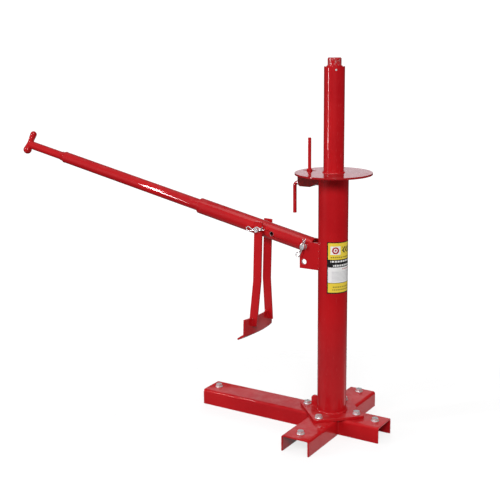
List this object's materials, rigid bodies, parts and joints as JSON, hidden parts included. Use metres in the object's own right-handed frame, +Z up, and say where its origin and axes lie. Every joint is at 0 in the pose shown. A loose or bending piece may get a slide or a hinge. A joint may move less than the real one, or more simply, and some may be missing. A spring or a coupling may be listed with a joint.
{
  "type": "manual tyre changer",
  "caption": "Manual tyre changer: post with a wheel disc on a cross-shaped channel base, a hinged bead-breaker arm with a hanging shoe and a telescoping handle.",
  "frame": {"origin": "on the floor, below the axis of the posts", "axes": "+Z up along the posts; -X along the long leg and the arm; +Y to the right of someone standing at the post and looking along the arm"},
  "size_m": [1.4121, 0.452, 1.126],
  "materials": {
    "red_paint": "gloss powder coat",
    "zinc_steel": "bright zinc plate",
    "dark_steel": "oiled bare steel",
    "label_film": "printed vinyl sticker"
  },
  "bodies": {
    "stand": {"long_leg": "red_paint", "front_leg": "red_paint", "rear_leg": "red_paint", "anchor_bolts": "zinc_steel", "anchor_washers": "zinc_steel", "flange_plate": "red_paint", "flange_bolts": "zinc_steel", "flange_washers": "zinc_steel", "flange_nuts": "zinc_steel", "base_gusset": "red_paint", "lower_post": "red_paint", "label": "label_film", "wheel_disc": "red_paint", "upper_post": "red_paint", "post_spigot": "red_paint", "spigot_pin": "zinc_steel", "lug_bracket": "red_paint", "front_ear": "red_paint", "rear_ear": "red_paint", "arm_pin": "zinc_steel", "arm_pin_clip": "zinc_steel"},
    "crank": {"crank_rod": "red_paint", "crank_screw": "zinc_steel", "crank_collar": "zinc_steel", "crank_clip": "zinc_steel"},
    "lug": {"lug_block": "dark_steel", "lug_pin": "red_paint", "lug_collar": "red_paint"},
    "arm": {"arm_tube": "red_paint", "shoe_pin": "zinc_steel", "shoe_pin_clip": "zinc_steel"},
    "shoe": {"front_strap": "red_paint", "rear_strap": "red_paint", "shoe_blade": "red_paint"},
    "handle": {"handle_tube": "red_paint", "handle_reducer": "red_paint", "handle_bar": "red_paint", "hook_head": "red_paint"}
  },
  "joints": [
    {"name": "arm_pivot", "type": "hinge", "parent": "stand", "child": "arm", "pos_m": [-0.081, 0, 0.571], "axis": [0, 1, 0], "range_deg": [-25, 30]},
    {"name": "shoe_pivot", "type": "hinge", "parent": "arm", "child": "shoe", "pos_m": [-0.24239, 0, 0.6053], "axis": [0, 1, 0], "range_deg": [-10, 60]},
    {"name": "handle_slide", "type": "slide", "parent": "arm", "child": "handle", "axis": [-0.9781, 0, 0.2079], "range_m": [-0.045, 0.15]},
    {"name": "crank_turn", "type": "hinge", "parent": "stand", "child": "crank", "pos_m": [-0.11, 0, 0.758], "axis": [1, 0, 0], "range_deg": [-1680, 1680]},
    {"name": "lug_slide", "type": "slide", "parent": "stand", "child": "lug", "axis": [1, 0, 0], "range_m": [-0.0141, 0.0141]}
  ],
  "couplings": [
    {"joint": "lug_slide", "follows": "crank_turn", "m_per_rad": 0.00047746}
  ]
}
